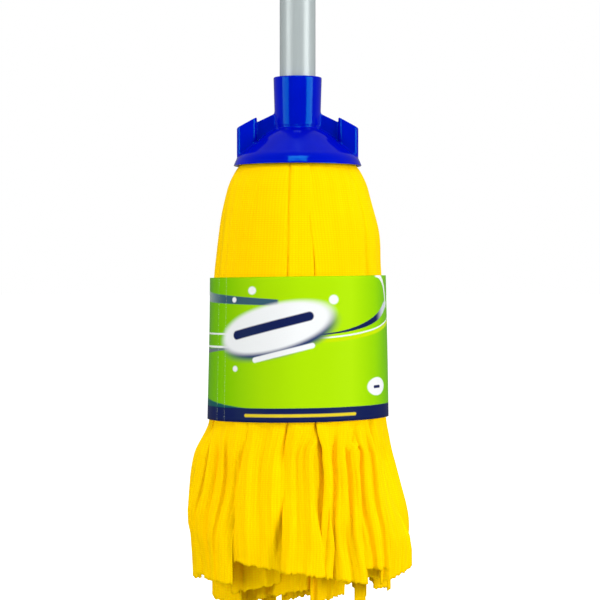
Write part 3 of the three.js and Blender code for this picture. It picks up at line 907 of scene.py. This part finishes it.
def strip_surface(layer, index, boundaries, phase, seed):
    """The middle surface of one strip as a grid of points, with its length."""
    rng = np.random.default_rng(seed)
    node = f"{layer}_strip_{index + 1:02d}"
    rows, columns = ROWS[layer], COLUMNS[layer]
    radius, height, length = skin_line(node, rows)
    places = np.linspace(0, 1, rows)
    opening = 1 - smooth(height, FLARE_FULL, FLARE_TOP)
    gathered = smooth(height, RIM - 3 * MM, RIM + 4 * MM)
    towards_sleeve = 1 - smooth(height, SLEEVE_HIGH[2] + 4 * MM, RIM - 22 * MM)

    target = {1: boundaries.after(index, places, opening) * radius,
              -1: (boundaries.pitch - boundaries.after(index - 1, places, opening)) * radius}
    over = {1: bool(boundaries.first_on_top[index]),
            -1: not boundaries.first_on_top[(index - 1) % boundaries.count]}
    gap = {side: boundaries.gap(at, towards_sleeve, opening)
           for side, at in ((1, index), (-1, index - 1))}
    lap = {1: boundaries.lap[index], -1: boundaries.lap[(index - 1) % boundaries.count]}
    reach = {side: target[side] + (lap[side] - gap[side] if over[side] else TUCK)
             for side in (1, -1)}
    span = reach[1] + reach[-1]

    # how the strip waves once it is free, as its slope across
    deep = layer == "core"
    wave = opening * rng.uniform(0.75, 1.15) * (1 + drift(rng, places, 7, 0.25))
    if deep:
        wave = np.maximum(wave, 0.9 * (1 - gathered))
    # a strip that has far to reach waves less
    spare = np.clip(MOST_STRETCH - span / CUT_WIDTH, 0.04, 1)
    wave = np.minimum(wave, 2 * np.sqrt(spare))
    short = 1 - wave**2 / 4 + wave**4 / 64        # a waving strip spans this share of its width
    tucked = [side for side in (1, -1) if not over[side]] or [1, -1]
    for side in tucked:
        reach[side] = reach[side] + np.clip((CUT_WIDTH * short - span) / len(tucked), 0, MORE_TUCK)
    span = reach[1] + reach[-1]
    arc = np.linspace(-0.5, 0.5, columns) * CUT_WIDTH
    wave_length = rng.uniform(9, 16) * MM
    wave_phase = rng.uniform(0, 2 * math.pi) + drift(rng, places, 5, 1.8)
    bend = wave[:, None] * np.sin(2 * math.pi * arc[None, :] / wave_length + wave_phase[:, None])
    bend += (opening * drift(rng, places, 6, 0.35))[:, None]
    pucker = opening * rng.uniform(0.25, 0.5) * (1 + drift(rng, places, 8, 0.6))
    bend += pucker[:, None] * np.sin(2 * math.pi * arc[None, :] / (rng.uniform(4.5, 7) * MM)
                                     + (rng.uniform(0, 6) + drift(rng, places, 6, 2.0))[:, None])
    ripple = 0.12 * (1 - gathered) * (1 - 0.6 * opening) * (1 + drift(rng, places, 9, 0.9))
    bend += ripple[:, None] * np.sin(2 * math.pi * arc[None, :] / (rng.uniform(6, 11) * MM)
                                     + (rng.uniform(0, 6) + drift(rng, places, 4, 1.5))[:, None])
    step = CUT_WIDTH / (columns - 1)
    x = np.cumsum(np.cos(bend), axis=1) * step
    drop = -np.cumsum(np.sin(bend), axis=1) * step
    x -= x[:, :1]
    drop -= drop.max(axis=1, keepdims=True)
    spread = x[:, -1]
    lacking = np.maximum(span - MOST_STRETCH * spread, 0)
    for side in tucked:
        reach[side] = reach[side] - lacking / len(tucked)
    x = x * ((reach[1] + reach[-1]) / spread)[:, None] - reach[-1][:, None]

    # a tucked edge dips beneath its neighbour, the deeper where a gap shows it
    for side in (1, -1):
        beyond = side * x - target[side][:, None]
        if over[side]:
            end = (reach[side] - target[side])[:, None]
            drop -= 0.3 * MM * smooth(beyond - end, -1.8 * MM, 0)
            continue
        fall = (1.15 * MM + 0.4 * gap[side] + 0.6 * MM * opening)[:, None]
        start = -lap[side] - 2.4 * MM - gap[side][:, None] * 0.5
        drop -= fall * smooth(beyond - start, 0, 2.9 * MM)
        drop -= 0.12 * np.clip(beyond, 0, None)
    drop *= (1 - 0.6 * gathered)[:, None]
    if not deep:
        drop = np.maximum(drop, -7 * MM) * 0.9 + drop * 0.1

    slope = np.gradient(radius), np.gradient(height)
    size = np.hypot(*slope)
    along_r, along_z = slope[0] / size, slope[1] / size
    lift = (-CLOTH / 2 - 0.3 * MM + drift(rng, places, 9, 0.35 * MM) * (1 - gathered)
            + opening * drift(rng, places, 6, 2.5 * MM))
    out = np.minimum(lift, -CLOTH / 2)[:, None] + drop

    slant = rng.uniform(-4, 4) * MM
    cut = rng.uniform(-3, 3) * MM + slant * np.linspace(-1, 1, columns)
    cut += 10 * MM * np.clip(-math.cos(phase), 0, 1) ** 6     # the left ones hang lowest
    cut += np.repeat(rng.uniform(-0.8, 0.8, columns // 2 + 1), 2)[:columns] * MM
    reach_down = smooth(places, 0.93, 1.0)[:, None] * cut[None, :]

    r = radius[:, None] - along_z[:, None] * out + along_r[:, None] * reach_down
    z = height[:, None] + along_r[:, None] * out + along_z[:, None] * reach_down
    z = np.maximum(z, LOWEST_END)
    sway = drift(rng, places, 5, 1.5 * MM) * opening
    angle = phase + (x + sway[:, None]) / radius[:, None]
    r = r + lean(angle, z) * (radius / radius.max())[:, None]
    points = np.stack([r * np.cos(angle), r * np.sin(angle), z], axis=-1)
    return points, length


def cloth_mesh(name, points, length):
    """A closed sheet round a middle surface, with its place on the cut cloth as UVs."""
    rows, columns = points.shape[:2]
    normal = np.cross(np.gradient(points, axis=1), np.gradient(points, axis=0))
    normal /= np.maximum(np.linalg.norm(normal, axis=-1, keepdims=True), 1e-12)
    half = normal * CLOTH / 2
    vertices = np.concatenate([(points - half).reshape(-1, 3), (points + half).reshape(-1, 3)])
    index = np.arange(rows * columns).reshape(rows, columns)
    a, b = index[:-1, :-1].ravel(), index[:-1, 1:].ravel()
    c, d = index[1:, 1:].ravel(), index[1:, :-1].ravel()
    back = rows * columns
    front = np.stack([a, d, c, b], axis=1)
    behind = np.stack([a, b, c, d], axis=1) + back
    ring = np.concatenate([index[0, :], index[1:, -1], index[-1, -2::-1], index[-2:0:-1, 0]])
    after = np.roll(ring, -1)
    edge = np.stack([ring, after, after + back, ring + back], axis=1)
    faces = np.concatenate([front, behind, edge])
    mesh = bpy.data.meshes.new(name)
    mesh.from_pydata(vertices.tolist(), [], faces.tolist())
    across = np.tile(np.linspace(0, CUT_WIDTH, columns), rows)
    along = np.repeat(np.linspace(0, length, rows), columns)
    uv = np.tile(np.stack([across, along], axis=1), (2, 1))
    layer = mesh.uv_layers.new(name=CLOTH_UV)
    layer.data.foreach_set("uv", uv[faces.ravel()].ravel())
    mesh.polygons.foreach_set("use_smooth", np.ones(len(faces), dtype=bool))
    mesh.update()
    return mesh


def add_strips():
    for depth, layer in enumerate(LAYERS):
        count = len([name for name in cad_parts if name.startswith(layer + "_strip_")])
        boundaries = Boundaries(count, FIRST_SEED + depth, FRONT if layer == "outer" else {})
        for index in range(count):
            phase = (index + (depth % 2) / 2) * boundaries.pitch
            seed = 1000 * depth + index
            points, length = strip_surface(layer, index, boundaries, phase, seed)
            name = f"cloth_{layer}_{index + 1:02d}"
            mesh = cloth_mesh(name, points, length)
            piece = add_piece(name, mesh, "head", "yellow_cloth",
                              [f"{layer}_strip_{index + 1:02d}"])


# ---- light and backdrop ----
ROOM_GLOW = 0.26
ROOM_SPAN = (-0.25, 0.45)                 # in the direction's y, see add_world
FLOOR_GLOW = 0.95
FLOOR_BELOW = 0.08                        # how far the floor lies beneath the CAD model
FLOOR_REACH = 40.0
# name, azimuth and elevation in degrees, distance, width, height, power, seen in reflections
SOFTBOXES = [
    ("key_left", -61, 4, 1.6, 0.95, 1.5, 20.5, True),
    ("key_right", 60, 4, 1.6, 0.95, 1.5, 29.0, True),
    ("top", 180, 72, 1.7, 1.1, 1.0, 12.0, False),
    ("front_top", 0, 55, 1.9, 0.9, 0.5, 13.0, True),
    ("front_low", 0, -38, 1.8, 1.4, 0.8, 32.0, False),
]


def add_softbox(name, azimuth, elevation, distance, width, height, power, mirrored):
    """A soft rectangular light that faces the head; azimuth 0 is the camera's side."""
    azimuth, elevation = math.radians(azimuth), math.radians(elevation)
    aim = Vector((0, 0, MOUTH - 0.15))
    direction = Vector((math.sin(azimuth) * math.cos(elevation),
                        -math.cos(azimuth) * math.cos(elevation), math.sin(elevation)))
    data = bpy.data.lights.new(name, "AREA")
    data.shape = "RECTANGLE"
    data.size, data.size_y = width, height
    data.energy = power
    light = bpy.data.objects.new(name, data)
    light.location = aim + direction * distance
    light.rotation_euler = (-direction).to_track_quat("-Z", "Y").to_euler()
    light.visible_glossy = mirrored
    bpy.context.scene.collection.objects.link(light)


def add_world():
    """A dim, even room that lights the mop softly and looks white to the camera."""
    world = bpy.data.worlds.new("world")
    world.use_nodes = True
    tree = world.node_tree
    background = tree.nodes["Background"]
    background.inputs["Color"].default_value = (1, 1, 1, 1)
    # The glow is the same in every direction, but the direction nodes have to stay: without
    # them the lower cloth rendered 3 to 4 levels of 255 darker in the front view.
    direction = tree.nodes.new("ShaderNodeTexCoord")
    parts = tree.nodes.new("ShaderNodeSeparateXYZ")
    room = tree.nodes.new("ShaderNodeMapRange")
    room.interpolation_type = "SMOOTHSTEP"
    for socket, value in zip(room.inputs[1:5], (*ROOM_SPAN, ROOM_GLOW, ROOM_GLOW)):
        socket.default_value = value
    ray = tree.nodes.new("ShaderNodeLightPath")
    seen = tree.nodes.new("ShaderNodeMath")
    seen.operation = "MAXIMUM"
    tree.links.new(direction.outputs["Generated"], parts.inputs[0])
    tree.links.new(parts.outputs[1], room.inputs[0])
    tree.links.new(room.outputs[0], seen.inputs[0])
    tree.links.new(ray.outputs["Is Camera Ray"], seen.inputs[1])
    tree.links.new(seen.outputs[0], background.inputs["Strength"])
    bpy.context.scene.world = world


def add_floor():
    """A wide white paper floor, lit from within like a light table."""
    mesh = bpy.data.meshes.new("floor")
    far, z = FLOOR_REACH, CAD_BOX[0][2] - FLOOR_BELOW
    mesh.from_pydata([(-far, -far, z), (far, -far, z), (far, far, z), (-far, far, z)], [],
                     [(0, 1, 2, 3)])
    floor = bpy.data.objects.new("floor", mesh)
    bpy.context.scene.collection.objects.link(floor)
    n = Nodes("floor_paper")
    grain = n.noise(n.place(), 3.0)
    floor.data.materials.append(n.set(
        Base_Color=n.mix(grain, (0.80, 0.80, 0.80, 1), (0.82, 0.82, 0.82, 1)), Roughness=0.9,
        Emission_Color=(1, 1, 1, 1), Emission_Strength=FLOOR_GLOW, Specular_IOR_Level=0.0))
    floor.visible_diffuse = floor.visible_glossy = False


# ---- the whole scene ----
add_tube()
add_end_cap()
add_tip()
add_eye()
add_cap()
add_clamp()
add_sleeve()
add_strips()
for softbox in SOFTBOXES:
    add_softbox(*softbox)
add_world()
add_floor()
bpy.context.scene.view_settings.view_transform = "Standard"
